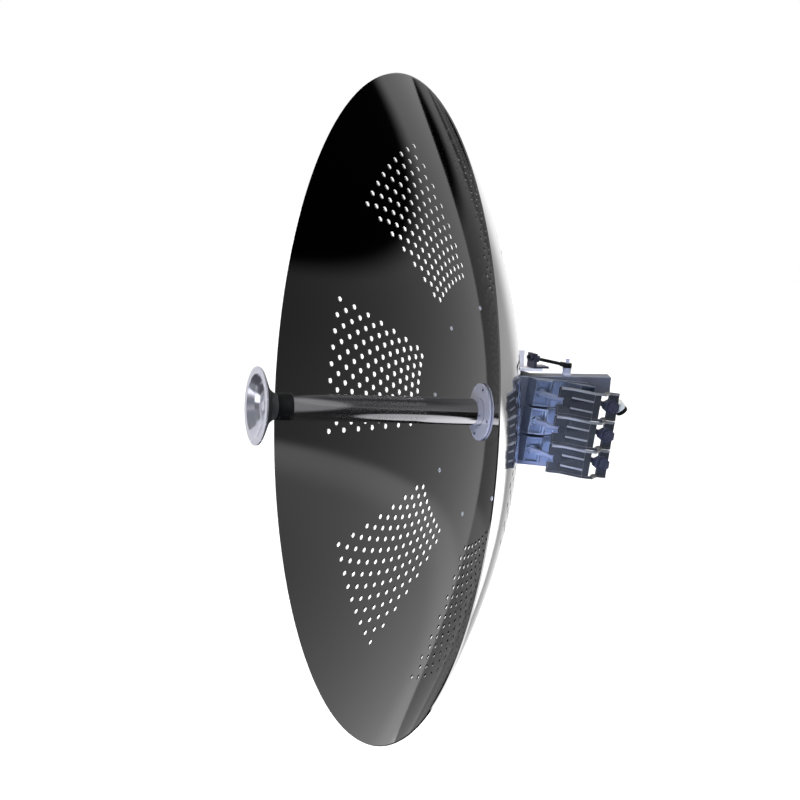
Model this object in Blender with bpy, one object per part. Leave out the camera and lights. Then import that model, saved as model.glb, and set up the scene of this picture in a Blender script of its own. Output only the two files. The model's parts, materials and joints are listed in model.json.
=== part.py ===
"""Parabolic dish antenna, 1.2 m across, on an offset pole bracket with three clamps.

Metres, +Z up along the pole. The origin lies on the flat seat at the bottom of the middle jaw's V,
which looks along +X towards the pole. The dish looks along -Y, tipped a little down and swung aside.
Sizes below are in millimetres and are turned into metres as each mesh is made.
"""

import math

import bmesh
import bpy
from mathutils import Matrix, Vector

MM = 0.001
GAP = 0.3                     # left between pieces that touch
UPRIGHT = Matrix(((0, 0, 1, 0), (1, 0, 0, 0), (0, 1, 0, 0), (0, 0, 0, 1)))   # (x, y) to (Y, Z), Z to X

# Dish and feed, in the dish's own frame: origin at the vertex, -Y is the way the dish looks
DISH_RADIUS = 600.0
FOCAL_LENGTH = 427.6
SHEET = 2.5
CENTRE_HOLE = 27.0
TIP_DOWN = math.radians(5.4)
SWING = math.radians(-6.4)    # how far the dish is swung about the azimuth pins at rest

# The bowl's perforated patches, each as a plain grid of openings; the fine holes are left to the dressed model
PATCHES = 6
PATCH_TURN = 1.325            # degrees; from straight up, towards +X
OPENING_TURN = 9.0            # degrees from one opening to the next
OPENING_ANGLE = 3.6
OPENINGS_ACROSS = 4
OPENING_START = 239.6         # radius where the patches start
OPENING_PITCH = 49.9
OPENING_HEIGHT = 23.0
OPENING_ROWS = 5
PLAIN_STEPS = 3               # columns of plain sheet at each side of a patch
INNER_RING = 120.0            # radii of the rings that only shape the sheet
OUTER_RINGS = (520.0, 560.0)

TUBE_RADIUS = 24.6
TUBE_BORE = 22.4
TUBE_REAR = 9.0
COLLAR_START = 360.0          # distances in front of the vertex
CONE_START = 389.0
CONE_END = 411.0
CONE_RADIUS = 35.5
SUB_RADIUS = 70.5
SUB_RIM_BACK = 426.0
SUB_RIM_FRONT = 431.0
FLANGE_RADIUS = 52.5
ROUND = 32                    # sides of the feed's round pieces
PIN_SIDES = 16

# Backing plate and hub behind the dish
RING_INNER = 190.0
RING_OUTER = 212.0
BACK_PLATE = 3.0
BACK_SIDES = 64
HUB_FLAT_RADIUS = 112.0
HUB_FACE = 10.0
HUB_HOLE = 34.0
HUB_PLATE = 8.0
HUB_X = (-52.0, 41.0)
HUB_HALF_HEIGHT = 88.5
EAR_THICK = 5.0
EAR_REAR = 96.0
EAR_X = (-38.0, 40.0)
SOCKET_RADIUS = 32.0
SOCKET_STEP = 36.0
SOCKET_NECK = 21.0
SOCKET_REAR = 46.0
CONNECTOR_HEIGHT = 10.0

# Azimuth pivot, in the dish's frame
AZ_PIVOT = Vector((-20.0, 68.0, 0.0))
AZ_PIN_RADIUS = 6.0

# Yoke: front plate and two arms, in the yoke's frame: the dish's before it swings
YOKE_Y = (48.0, 55.0)
YOKE_LEFT = -34.0
YOKE_WINDOW = (28.0, 42.0)    # the plate is cut away up to this X and to this height each way
SHELF_REAR = 84.0
ARM_X = (4.0, 44.0)
ARM_TOP = 75.0
ARM_SHEET = 5.0
ARM_FLANGE = 31.0
UPPER_ARM_REAR = (249.0, 233.5)   # Y of the top flange's end at its far and at its near side
LOWER_ARM_REAR = (184.0, 184.0)
BOSS_X = 53.9                 # 0.3 short of the bracket's plate
BOSS_WALL = 7.0

# Elevation pivot and lock, in the yoke's frame
EL_PIVOT = Vector((0.0, 149.0, -58.0))
EL_PIN_RADIUS = 7.0
LOCK_RADIUS = 111.0
LOCK_BOLT = 5.0
LOCK_WASHER = 9.0
EL_DOWN = math.radians(3.0)
EL_UP = math.radians(7.0)

# Azimuth adjuster, in the yoke's frame
ROD_X = 33.0
ROD_RADIUS = 3.2
LUG_X = (15.0, 42.0)
LUG_Y = (70.0, 76.0)
LUG_FOOT = 26.0
LUG_TOP = 115.5
ROD_AT_LUG = 107.0
POST_Y = 144.5
POST_RADIUS = 8.0
EYE_Z = (90.0, 99.0)
EYE_RADIUS = 8.5
EYE_BORE = 3.5
STUB_TOP = 106.5
ROD_PAST = 14.0               # how far the rod goes past the lug's middle
NUT_RADIUS = 7.0
NUT_HEIGHT = 6.0
NUT_GAP = 1.2
NUT_SLACK = 1.7
GUSSET_X = (8.0, 14.0)        # the upright web behind the upper ear, in the dish's frame
GUSSET_REAR = 68.0
GUSSET_TOP = 118.0

# Pole bracket, in the row's frame (measured from the pole seat)
SEAT_X = 66.2                 # lateral distance from the yoke's axis to the seat
SEAT_BEHIND = 100.9           # distance from the yoke's origin back to the seat, square to the pole
SEAT_ABOVE = 6.3              # height of the seat over the yoke's origin, along the pole
PITCH = 51.7                  # from one clamp to the next
JAW_HEIGHT = 46.4
V_DEPTH = 34.0
V_FLAT = 8.0                  # half widths of the V, at its bottom and at its mouths
JAW_MOUTH = 30.5
CLAMP_MOUTH = 34.0
CLAMP_HALF = 62.5
JAW_FOOT = (-56.8, 22.0)      # Y of the jaw's walls where they meet the plate
JAW_STEPS = (5.0, 20.0)       # X between which the rear wall leans
POCKET_X = 24.0               # floor of the pockets in the jaw's flanges
POCKET_Y = (33.0, 60.0)
POCKET_Z = (2.5, 20.8)
BOSS_HALF = 8.0               # the solid left round the bolt between the pockets
STUD_END = 10.0               # X where the clamp bolts end, inside the jaws
WEB = 5.0
RIB = 4.0
MIDDLE_RIBS = ((6.0, 9.0), (-11.0, -8.0))
PLATE_X = (-12.0, -6.0)
PLATE_OUTLINE = ((-77.0, -85.0), (69.0, -85.0), (69.0, 76.5), (-77.0, 73.5))   # (Y, Z)
CLAMP_X = 116.6               # inner face of the outer clamps' flanges
CLAMP_REAR = 60.0
CLAMP_LEAN = 2.5              # how much wider the outer side of the clamp's V is
CLAMP_RIB_DEPTH = 9.0
RIB_TAPER = 8.0               # over which the outer ribs run out at the clamp's rear end
APEX_RIB_DEPTH = 7.0
WINDOW_Y = (3.0, 40.0)        # the opening in the clamp's rear leg
BOLT_Y = 47.0
BOLT_RADIUS = 5.0
CLEAR = 0.3                   # around a shank in its hole
HEAD_FLATS = 17.0
HEAD_HEIGHT = 7.0
FRONT_HEAD = (8.0, 2.2)       # radius and height of the low round heads of the front bolts
WASHER_RADIUS = 11.5
TERMINAL_TOP = Vector((105.0, 66.3, 57.7))
TERMINAL_WAY = Vector((0.0, 0.72, -0.70))
TERMINAL_LENGTH = 20.9
TERMINAL_RADIUS = 11.0
TERMINAL_LUG = 6.0
TERMINAL_LUG_Z = (48.0, 56.0)
LEVELS = (("upper", PITCH), ("middle", 0.0), ("lower", -PITCH))

COLOURS = {
    "mirror": ((0.30, 0.30, 0.31, 1.0), 0.15, 1.0),
    "chrome": ((0.55, 0.55, 0.58, 1.0), 0.12, 1.0),
    "black": ((0.012, 0.012, 0.014, 1.0), 0.35, 0.0),
    "silver": ((0.62, 0.62, 0.70, 1.0), 0.22, 1.0),
    "zinc": ((0.60, 0.60, 0.64, 1.0), 0.40, 0.8),
    "casting": ((0.20, 0.23, 0.36, 1.0), 0.45, 0.5),
    "clamp": ((0.06, 0.07, 0.09, 1.0), 0.45, 0.5),
    "steel": ((0.10, 0.10, 0.12, 1.0), 0.35, 0.9),
    "white": ((0.75, 0.74, 0.78, 1.0), 0.40, 0.2),
}


def clear_scene():
    for item in list(bpy.data.objects):
        bpy.data.objects.remove(item, do_unlink=True)


def finish(name):
    """the material of one finish, made once"""
    found = bpy.data.materials.get(name)
    if found:
        return found
    made = bpy.data.materials.new(name)
    made.use_nodes = True
    shader = made.node_tree.nodes["Principled BSDF"]
    colour, roughness, metallic = COLOURS[name]
    shader.inputs["Base Color"].default_value = colour
    shader.inputs["Roughness"].default_value = roughness
    shader.inputs["Metallic"].default_value = metallic
    made.diffuse_color = colour
    return made


def mesh_of(bm, name):
    """a mesh in metres from a bmesh in millimetres, its faces pointing out"""
    bmesh.ops.remove_doubles(bm, verts=bm.verts, dist=0.01)
    bmesh.ops.recalc_face_normals(bm, faces=bm.faces)
    bmesh.ops.scale(bm, vec=(MM, MM, MM), verts=bm.verts)
    mesh = bpy.data.meshes.new(name)
    bm.to_mesh(mesh)
    bm.free()
    return mesh


def block(x, y, z):
    """a box between pairs of limits"""
    bm = bmesh.new()
    bmesh.ops.create_cube(bm, size=1.0)
    size = Vector((x[1] - x[0], y[1] - y[0], z[1] - z[0]))
    middle = Vector((x[0] + x[1], y[0] + y[1], z[0] + z[1])) / 2
    bmesh.ops.scale(bm, vec=size, verts=bm.verts)
    bmesh.ops.translate(bm, vec=middle, verts=bm.verts)
    return bm


def prism(outline, low, high, turn=None):
    """an outline in XY carried from low to high along Z, then turned"""
    bm = bmesh.new()
    face = bm.faces.new([bm.verts.new((x, y, low)) for x, y in outline])
    raised = bmesh.ops.extrude_face_region(bm, geom=[face])
    tops = [item for item in raised["geom"] if isinstance(item, bmesh.types.BMVert)]
    bmesh.ops.translate(bm, vec=(0, 0, high - low), verts=tops)
    if turn is not None:
        bmesh.ops.transform(bm, matrix=turn, verts=bm.verts)
    return bm


def regular(radius, sides):
    """corners of a regular polygon"""
    steps = [2 * math.pi * i / sides for i in range(sides)]
    return [(radius * math.cos(a), radius * math.sin(a)) for a in steps]


def stand(along, where):
    """the transform that takes the Z axis to a direction through a place"""
    turn = Vector((0, 0, 1)).rotation_difference(Vector(along))
    return Matrix.Translation(Vector(where)) @ turn.to_matrix().to_4x4()


def rod(radius, low, high, where, along, sides=16):
    """a round or hexagonal bar from low to high along a direction through a place"""
    return prism(regular(radius, sides), low, high, stand(along, where))


def turned(profile, sides, along=(0.0, 1.0, 0.0), where=(0.0, 0.0, 0.0)):
    """a closed profile of (radius, height) turned about an axis through a place"""
    bm = bmesh.new()
    loop = [bm.verts.new((r, 0, h)) for r, h in profile]
    edges = [bm.edges.new((loop[i], loop[(i + 1) % len(loop)])) for i in range(len(loop))]
    bmesh.ops.spin(bm, geom=loop + edges, cent=(0, 0, 0), axis=(0, 0, 1), dvec=(0, 0, 0),
                   angle=2 * math.pi, steps=sides, use_merge=True, use_duplicate=False)
    bmesh.ops.remove_doubles(bm, verts=bm.verts, dist=0.01)
    bmesh.ops.transform(bm, matrix=stand(along, where), verts=bm.verts)
    return bm


def combine(name, solids, cuts=()):
    """one closed mesh: the union of the solids less the cuts"""
    parts = []
    for number, bm in enumerate(list(solids) + list(cuts)):
        part = bpy.data.objects.new(f"{name}_{number}", mesh_of(bm, name))
        bpy.context.scene.collection.objects.link(part)
        parts.append(part)
    base = parts[0]
    for number, part in enumerate(parts[1:], start=1):
        change = base.modifiers.new("join", "BOOLEAN")
        change.solver = "EXACT"
        change.operation = "UNION" if number < len(solids) else "DIFFERENCE"
        change.object = part
    graph = bpy.context.evaluated_depsgraph_get()
    mesh = bpy.data.meshes.new_from_object(base.evaluated_get(graph))
    for part in parts:
        bpy.data.objects.remove(part, do_unlink=True)
    return mesh


def place(name, mesh, finish_name, parent=None, shift=(0.0, 0.0, 0.0), smooth=False):
    """a named object; shift is in millimetres from its parent"""
    piece = bpy.data.objects.new(name, mesh)
    bpy.context.scene.collection.objects.link(piece)
    piece.location = Vector(shift) * MM
    piece.parent = parent
    mesh.materials.clear()
    mesh.materials.append(finish(finish_name))
    if smooth:
        mesh.shade_smooth()
        mesh.set_sharp_from_angle(angle=math.radians(35))
    return piece


def empty(name, location, parent=None, turn=(0.0, 0.0, 0.0)):
    """a joint's axis, or a frame"""
    marker = bpy.data.objects.new(name, None)
    bpy.context.scene.collection.objects.link(marker)
    marker.location = Vector(location) * MM
    marker.rotation_euler = turn
    marker.parent = parent
    return marker


def dish_depth(radius):
    """how far the front surface stands before the vertex"""
    return radius * radius / (4 * FOCAL_LENGTH)


def back_of_dish(radius):
    """Y of the sheet's rear surface at a radius"""
    slope = math.atan(radius / (2 * FOCAL_LENGTH))
    return SHEET / math.cos(slope) - dish_depth(radius)


# Dish and feed

def opening_edges(start, pitch, count, width):
    """the two edges of each opening in a row of them"""
    middles = [start + pitch * (i + 0.5) for i in range(count)]
    return [middle + side * width / 2 for middle in middles for side in (-1, 1)]


def sheet_angles():
    """degrees from straight up of the sheet's columns, and how many of them one patch takes"""
    half = 180.0 / PATCHES
    across = opening_edges(-OPENING_TURN * OPENINGS_ACROSS / 2, OPENING_TURN, OPENINGS_ACROSS, OPENING_ANGLE)
    step = (half - across[-1]) / PLAIN_STEPS
    before = [step * i - half for i in range(PLAIN_STEPS)]
    after = [across[-1] + step * i for i in range(1, PLAIN_STEPS)]
    patch = before + across + after
    angles = [PATCH_TURN + half * (2 * i + 1) + angle for i in range(PATCHES) for angle in patch]
    return angles + [angles[0] + 360.0], len(patch)


def reflector_mesh():
    """the bowl: a sheet in columns and rings, bent to the paraboloid after its openings are cut"""
    angles, patch_columns = sheet_angles()
    inner = [CENTRE_HOLE, FLANGE_RADIUS, INNER_RING, RING_INNER, RING_OUTER]
    rows = opening_edges(OPENING_START, OPENING_PITCH, OPENING_ROWS, OPENING_HEIGHT)
    radii = inner + rows + list(OUTER_RINGS) + [DISH_RADIUS]
    columns = len(angles) - 1
    rings = len(radii) - 1
    open_columns = [PLAIN_STEPS + 2 * i for i in range(OPENINGS_ACROSS)]
    open_rings = [len(inner) + 2 * i for i in range(OPENING_ROWS)]
    bm = bmesh.new()
    bmesh.ops.create_grid(bm, x_segments=columns, y_segments=rings, size=0.5)
    openings = []
    for face in bm.faces:
        middle = face.calc_center_median()
        column = int((middle.x + 0.5) * columns) % patch_columns
        if column in open_columns and int((middle.y + 0.5) * rings) in open_rings:
            openings.append(face)
    bmesh.ops.delete(bm, geom=openings, context="FACES")
    for vert in bm.verts:
        angle = math.radians(angles[round((vert.co.x + 0.5) * columns)])
        radius = radii[round((vert.co.y + 0.5) * rings)]
        vert.co = (radius * math.sin(angle), -dish_depth(radius), radius * math.cos(angle))
    bmesh.ops.remove_doubles(bm, verts=bm.verts, dist=0.01)
    raised = bmesh.ops.extrude_face_region(bm, geom=bm.faces[:], use_keep_orig=True)
    for item in raised["geom"]:
        if isinstance(item, bmesh.types.BMVert):
            item.co.y = back_of_dish(math.hypot(item.co.x, item.co.z))
    return mesh_of(bm, "reflector")


def feed_flange_mesh():
    bore = TUBE_RADIUS + GAP
    seat = -dish_depth(FLANGE_RADIUS) - GAP
    face = seat - 6.0
    profile = [(bore, seat), (FLANGE_RADIUS, seat), (FLANGE_RADIUS, face), (bore + 7, face),
               (bore + 2.5, face - 3), (bore + 1.5, face - 8), (bore, face - 8)]
    return mesh_of(turned(profile, ROUND), "feed_flange")


def ring_mesh(name, outer, bore, front, rear):
    return mesh_of(turned([(bore, front), (outer, front), (outer, rear), (bore, rear)], ROUND), name)


def feed_cone_mesh():
    """the plastic cone that spreads from the tube's mouth to the small reflector"""
    steps = 5
    flare = []
    for i in range(steps + 1):
        t = i / steps
        radius = TUBE_RADIUS - 1 + (CONE_RADIUS - TUBE_RADIUS + 1) * t ** 1.6
        flare.append((radius, -CONE_START - GAP - (CONE_END - CONE_START - GAP) * t))
    profile = [(4.0, -CONE_START - GAP)] + flare + [(4.0, -CONE_END)]
    return mesh_of(turned(profile, ROUND), "feed_cone")


def subreflector_mesh():
    """a spun disc with a stepped hollow front"""
    back = -CONE_END - GAP
    profile = [(3.0, back), (CONE_RADIUS, back), (SUB_RADIUS - 2, -SUB_RIM_BACK + 1.5),
               (SUB_RADIUS, -SUB_RIM_BACK), (SUB_RADIUS, -SUB_RIM_FRONT), (SUB_RADIUS - 11, -SUB_RIM_FRONT),
               (SUB_RADIUS - 24, -SUB_RIM_FRONT + 9), (SUB_RADIUS - 27, -SUB_RIM_FRONT + 9),
               (SUB_RADIUS - 34, -SUB_RIM_FRONT + 14), (3.0, -SUB_RIM_FRONT + 14)]
    return mesh_of(turned(profile, ROUND), "subreflector")


# Behind the dish

def backing_plate_mesh():
    """a spun plate: a rim under the dish's back, a cone, and a flat hub face"""
    front = [(RING_OUTER, back_of_dish(RING_OUTER) + GAP), (RING_INNER, back_of_dish(RING_INNER) + GAP),
             (HUB_FLAT_RADIUS, HUB_FACE), (HUB_HOLE, HUB_FACE)]
    back = [(HUB_HOLE, HUB_FACE + BACK_PLATE), (HUB_FLAT_RADIUS + 1.2, HUB_FACE + BACK_PLATE),
            (RING_INNER + 1.2, back_of_dish(RING_INNER) + GAP + BACK_PLATE),
            (RING_OUTER + 0.6, back_of_dish(RING_OUTER) + GAP + BACK_PLATE)]
    return mesh_of(turned(front + back, BACK_SIDES), "backing_plate")


def hub_bracket_mesh():
    """a plate on the hub face with two ears that turn on the azimuth pins"""
    front = HUB_FACE + BACK_PLATE + GAP
    rear = front + HUB_PLATE
    ear_low = HUB_HALF_HEIGHT - EAR_THICK
    solids = [block(HUB_X, (front, rear), (-HUB_HALF_HEIGHT, HUB_HALF_HEIGHT)),
              block(EAR_X, (front, EAR_REAR), (ear_low, HUB_HALF_HEIGHT)),
              block(EAR_X, (front, EAR_REAR), (-HUB_HALF_HEIGHT, -ear_low)),
              block(GUSSET_X, (front + 2, GUSSET_REAR), (ear_low + 1, GUSSET_TOP))]
    cuts = [rod(HUB_HOLE, front - 2, rear + 2, (0, 0, 0), (0, 1, 0), 32),
            rod(AZ_PIN_RADIUS + CLEAR, -100, 100, (AZ_PIVOT.x, AZ_PIVOT.y, 0), (0, 0, 1), 24)]
    return combine("hub_bracket", solids, cuts)


def feed_socket_mesh():
    """the feed's rear housing, with its flange on the hub bracket"""
    seat = HUB_FACE + BACK_PLATE + HUB_PLATE + 2 * GAP
    profile = [(2.0, TUBE_REAR + GAP), (SOCKET_RADIUS, TUBE_REAR + GAP), (SOCKET_RADIUS, seat),
               (SOCKET_RADIUS + 11, seat), (SOCKET_RADIUS + 11, seat + 4), (SOCKET_RADIUS, seat + 4),
               (SOCKET_RADIUS, SOCKET_STEP), (SOCKET_NECK, SOCKET_STEP), (SOCKET_NECK, SOCKET_REAR),
               (2.0, SOCKET_REAR)]
    return mesh_of(turned(profile, 24), "feed_socket")


def connector_mesh(height):
    """a coaxial socket that points to the rear"""
    low = SOCKET_REAR + GAP
    profile = [(2.0, low), (7.5, low), (7.5, low + 3), (6.0, low + 3), (6.0, low + 19),
               (4.2, low + 19), (4.2, low + 8), (2.0, low + 8)]
    return mesh_of(turned(profile, 20, (0, 1, 0), (0, 0, height)), "connector")


def swung_back(mesh):
    """a mesh of the yoke's frame in the dish's own frame, so that it lies true when the dish is at rest"""
    pivot = Matrix.Translation(AZ_PIVOT * MM)
    mesh.transform(pivot @ Matrix.Rotation(-SWING, 4, "Z") @ pivot.inverted())
    return mesh


def adjuster_lug_mesh():
    """an angle on the upper ear that the adjuster's rod passes through"""
    floor = HUB_HALF_HEIGHT + GAP
    foot = (LUG_Y[0], LUG_Y[1] + LUG_FOOT)
    gusset = [(LUG_Y[1] - 1, floor + 1), (foot[1] - 6, floor + 1), (LUG_Y[1] - 1, LUG_TOP - 14)]
    solids = [block(LUG_X, LUG_Y, (floor, LUG_TOP)),
              block(LUG_X, foot, (floor, floor + 4)),
              prism(gusset, LUG_X[0], LUG_X[0] + 3, UPRIGHT)]
    cuts = [rod(ROD_RADIUS + 1.9, LUG_Y[0] - 3, LUG_Y[1] + 3, (ROD_X, 0, ROD_AT_LUG), (0, 1, 0), 20)]
    return swung_back(combine("adjuster_lug", solids, cuts))


def rod_line():
    """where the rod starts at its eye, and the way it points, towards the lug"""
    eye = Vector((ROD_X, POST_Y, (EYE_Z[0] + EYE_Z[1]) / 2))
    lug = Vector((ROD_X, (LUG_Y[0] + LUG_Y[1]) / 2, ROD_AT_LUG))
    return eye, (lug - eye).normalized(), (lug - eye).length


def adjuster_rod_mesh():
    """a threaded rod with an eye that turns on the post"""
    eye, way, length = rod_line()
    centre = (ROD_X, POST_Y, 0)
    solids = [rod(EYE_RADIUS, EYE_Z[0], EYE_Z[1], centre, (0, 0, 1), 24),
              rod(ROD_RADIUS, EYE_RADIUS - 2, length + ROD_PAST, eye, way, 16)]
    cuts = [rod(EYE_BORE + CLEAR, EYE_Z[0] - 5, EYE_Z[1] + 5, centre, (0, 0, 1), 20)]
    return combine("adjuster_rod", solids, cuts)


def rod_nut_mesh(side):
    """a nut on the rod at one side of the lug, which moves along the rod with it"""
    eye, way, length = rod_line()
    near = (LUG_Y[1] - LUG_Y[0]) / 2 + NUT_GAP
    low, high = sorted((length + side * near, length + side * (near + NUT_HEIGHT)))
    nut = combine("rod_nut", [rod(NUT_RADIUS, low, high, eye, way, 6)],
                  [rod(ROD_RADIUS + NUT_SLACK, low - 2, high + 2, eye, way, 20)])
    return swung_back(nut)


# Yoke

def yoke_mesh():
    """the front plate with the shelves that take the azimuth pins"""
    shelf_low = ARM_TOP - ARM_SHEET
    shelf_x = (YOKE_LEFT, ARM_X[0] - GAP)
    shelf_y = (YOKE_Y[0], SHELF_REAR)
    solids = [block((YOKE_LEFT, ARM_X[1]), YOKE_Y, (-ARM_TOP, ARM_TOP)),
              block(shelf_x, shelf_y, (shelf_low, ARM_TOP)),
              block(shelf_x, shelf_y, (-ARM_TOP, -shelf_low))]
    window, high = YOKE_WINDOW
    cuts = [rod(AZ_PIN_RADIUS + CLEAR, -100, 100, (AZ_PIVOT.x, AZ_PIVOT.y, 0), (0, 0, 1), 24),
            block((YOKE_LEFT - 9, window), (YOKE_Y[0] - 2, YOKE_Y[1] + 2), (-high, high))]
    return combine("yoke_plate", solids, cuts)


def arm_mesh(name, up, rear, bolt):
    """an angle arm with a boss that carries the bracket's plate; bolt is the boss's (Y, Z, radius)"""
    front = YOKE_Y[1] + GAP
    top = [(ARM_X[0], front), (ARM_X[1], front), (ARM_X[1], rear[1]), (ARM_X[0], rear[0])]
    low, high = sorted((up * ARM_TOP, up * (ARM_TOP - ARM_SHEET)))
    side = sorted((up * ARM_TOP, up * (ARM_TOP - ARM_FLANGE)))
    centre = (0, bolt[0], bolt[1])
    solids = [prism(top, low, high),
              block((ARM_X[1] - ARM_SHEET, ARM_X[1]), (front, rear[1]), side),
              rod(bolt[2] + BOSS_WALL, ARM_X[1] - 1, BOSS_X, centre, (1, 0, 0), 24)]
    cuts = [rod(bolt[2] + CLEAR, 0, BOSS_X + 9, centre, (1, 0, 0), 24)]
    return combine(name, solids, cuts)


def azimuth_pin_mesh(up):
    """a pin with a head over the ear, a collar between ear and shelf, and a nut under the shelf"""
    shelf_low = ARM_TOP - ARM_SHEET
    ear_low = HUB_HALF_HEIGHT - EAR_THICK
    r = AZ_PIN_RADIUS
    profile = [(1.5, shelf_low - 9), (r, shelf_low - 9), (r, shelf_low - 6.3), (r + 5, shelf_low - 6.3),
               (r + 5, shelf_low - GAP), (r, shelf_low - GAP), (r, ARM_TOP + GAP), (r + 7, ARM_TOP + GAP),
               (r + 7, ear_low - GAP), (r, ear_low - GAP), (r, HUB_HALF_HEIGHT + GAP),
               (r + 5, HUB_HALF_HEIGHT + GAP), (r + 5, HUB_HALF_HEIGHT + 6.5), (1.5, HUB_HALF_HEIGHT + 6.5)]
    centre = (AZ_PIVOT.x, AZ_PIVOT.y, 0)
    return mesh_of(turned(profile, PIN_SIDES, (0, 0, up), centre), "azimuth_pin")


def post_mesh():
    """the post that the rod's eye turns on"""
    floor = ARM_TOP + GAP
    shoulder = EYE_Z[0] - GAP
    profile = [(1.2, floor), (POST_RADIUS, floor), (POST_RADIUS, shoulder), (EYE_BORE, shoulder),
               (EYE_BORE, STUB_TOP), (1.2, STUB_TOP)]
    return mesh_of(turned(profile, 20, (0, 0, 1), (ROD_X, POST_Y, 0)), "adjuster_post")


def elevation_pin_mesh():
    """a pin flush in the bracket's plate, with its nut behind the lower arm"""
    r = EL_PIN_RADIUS
    inner = ARM_X[1] - ARM_SHEET - GAP
    plate_face = SEAT_X + PLATE_X[1]
    profile = [(1.5, inner - 9), (r, inner - 9), (r, inner - 7), (r + 4, inner - 7), (r + 4, inner),
               (r, inner), (r, plate_face), (1.5, plate_face)]
    return mesh_of(turned(profile, PIN_SIDES, (1, 0, 0), (0, EL_PIVOT.y, EL_PIVOT.z)), "elevation_pin")


def lock_bolt_mesh():
    """the bolt that holds the tilt, through the upper arm and the plate's slot"""
    inner = ARM_X[1] - ARM_SHEET - GAP
    plate_face = SEAT_X + PLATE_X[1] + GAP
    where = (0, EL_PIVOT.y, EL_PIVOT.z + LOCK_RADIUS)
    solids = [rod(LOCK_BOLT, inner - 9, plate_face + 1, where, (1, 0, 0), 20),
              rod(8.0, inner - 7, inner, where, (1, 0, 0), 6),
              rod(LOCK_WASHER, plate_face, plate_face + 2, where, (1, 0, 0), 20),
              rod(8.0, plate_face + 1, plate_face + 7, where, (1, 0, 0), 6)]
    return combine("lock_bolt", solids)


# Pole bracket

def row_point(point):
    """a point of the yoke's frame in the row's frame, in millimetres"""
    y = point[1] * math.cos(TIP_DOWN) - point[2] * math.sin(TIP_DOWN)
    z = point[1] * math.sin(TIP_DOWN) + point[2] * math.cos(TIP_DOWN)
    return Vector((point[0] - SEAT_X, y - SEAT_BEHIND, z - SEAT_ABOVE))


def slot_outline(centre, radius, half_width, start, end, steps=5):
    """an arc-shaped slot round a centre, in (Y, Z); the angles are measured from straight up"""
    outline = []
    for side, order in ((1, range(steps + 1)), (-1, range(steps, -1, -1))):
        for i in order:
            angle = start + (end - start) * i / steps
            r = radius + side * half_width
            outline.append((centre.y + r * math.sin(angle), centre.z + r * math.cos(angle)))
    return outline


def mount_plate_mesh():
    """the bracket's plate: a hole for the elevation pin and a slot for the lock bolt"""
    pivot = row_point(EL_PIVOT)
    rest = -TIP_DOWN
    end_room = LOCK_BOLT / LOCK_RADIUS + math.radians(1.0)
    outline = slot_outline(pivot, LOCK_RADIUS, LOCK_BOLT + CLEAR, rest - EL_DOWN - end_room,
                           rest + EL_UP + end_room)
    low = PLATE_X[0] - 3
    high = PLATE_X[1] + 3
    cuts = [prism(outline, low, high, UPRIGHT),
            rod(EL_PIN_RADIUS + CLEAR, low, high, (0, pivot.y, pivot.z), (1, 0, 0), 24)]
    return combine("mount_plate", [prism(PLATE_OUTLINE, PLATE_X[0], PLATE_X[1], UPRIGHT)], cuts)


def bolt_hole(side, low, high):
    return rod(BOLT_RADIUS + CLEAR, low, high, (0, side * BOLT_Y, 0), (1, 0, 0), 20)


def pocket(side, up):
    """one of the four pockets in a jaw's flanges, with a corner left solid for the bolt's boss"""
    near, far = POCKET_Y
    low, high = POCKET_Z
    outline = [(near, low), (BOLT_Y - BOSS_HALF, low), (BOLT_Y - BOSS_HALF / 2, BOSS_HALF),
               (BOLT_Y + BOSS_HALF / 2, BOSS_HALF), (BOLT_Y + BOSS_HALF, low), (far, low), (far, high),
               (near, high)]
    return prism([(side * y, up * z) for y, z in outline], POCKET_X, V_DEPTH + 2, UPRIGHT)


def jaw_mesh():
    """a fixed jaw: a cast block with a V for the pole and two pockets in each flange"""
    half = JAW_HEIGHT / 2
    back = PLATE_X[1] + GAP
    outline = [(back, JAW_FOOT[0]), (V_DEPTH, -CLAMP_HALF), (V_DEPTH, -JAW_MOUTH), (0.0, -V_FLAT),
               (0.0, V_FLAT), (V_DEPTH, JAW_MOUTH), (V_DEPTH, CLAMP_HALF), (JAW_STEPS[1], CLAMP_HALF),
               (JAW_STEPS[0], JAW_FOOT[1]), (back, JAW_FOOT[1])]
    cuts = [pocket(side, up) for side in (-1, 1) for up in (-1, 1)]
    cuts += [bolt_hole(side, STUD_END - 1, V_DEPTH + 5) for side in (-1, 1)]
    return combine("jaw", [prism(outline, -half, half)], cuts)


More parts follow.
